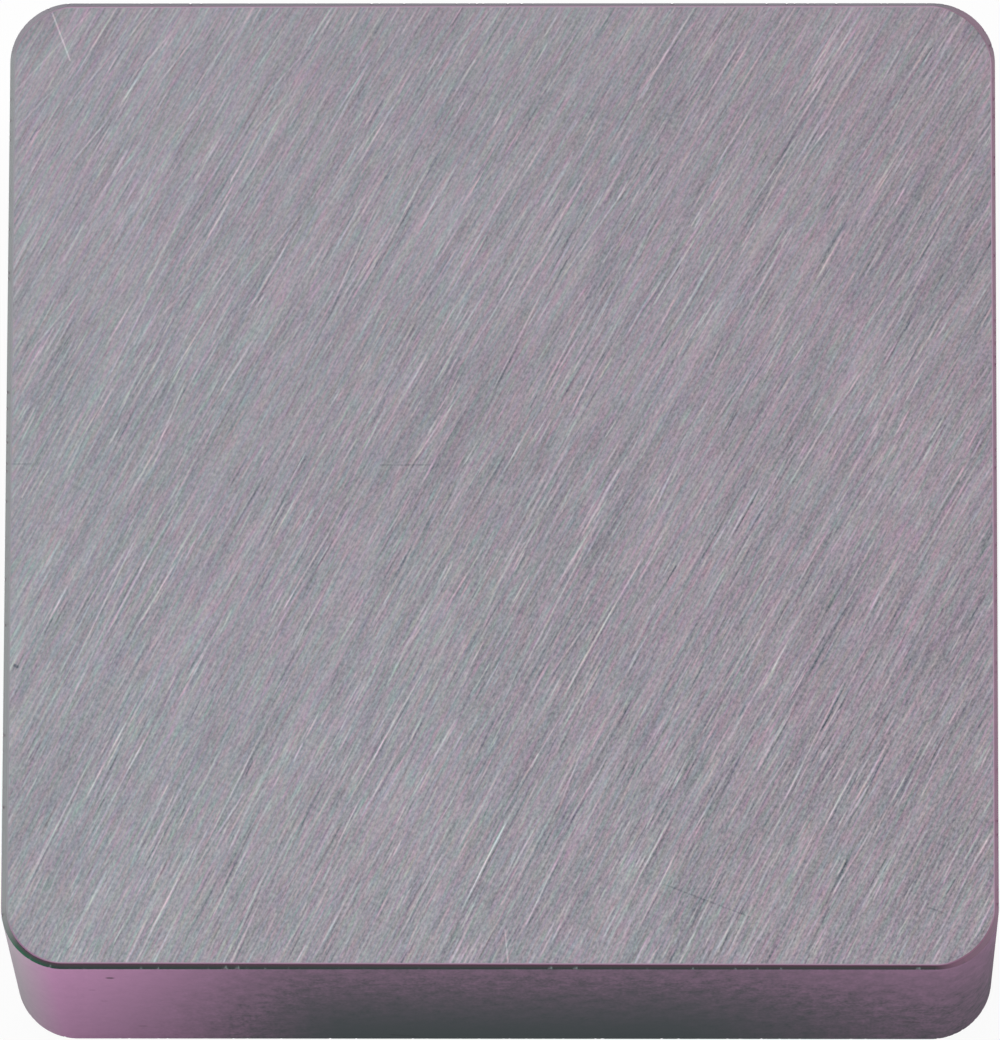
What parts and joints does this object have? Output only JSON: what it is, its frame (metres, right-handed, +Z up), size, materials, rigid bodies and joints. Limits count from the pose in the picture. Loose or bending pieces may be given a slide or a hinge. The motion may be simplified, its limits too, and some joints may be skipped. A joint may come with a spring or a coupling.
{
  "type": "turning insert",
  "caption": "Square ceramic turning insert without a hole, with upright ground flanks, rounded noses and a narrow sloped land round the rim of both faces.",
  "frame": {"origin": "centre of the seat face, the lower of the two lapped faces", "axes": "+Z up through the thickness, from the seat face to the rake face; X and Y square to the flanks, with -Y the flank at the front"},
  "size_m": [0.0126, 0.0126, 0.0048],
  "materials": {
    "ground_ceramic": "satin"
  },
  "bodies": {
    "root": {"insert": "ground_ceramic"}
  },
  "joints": []
}
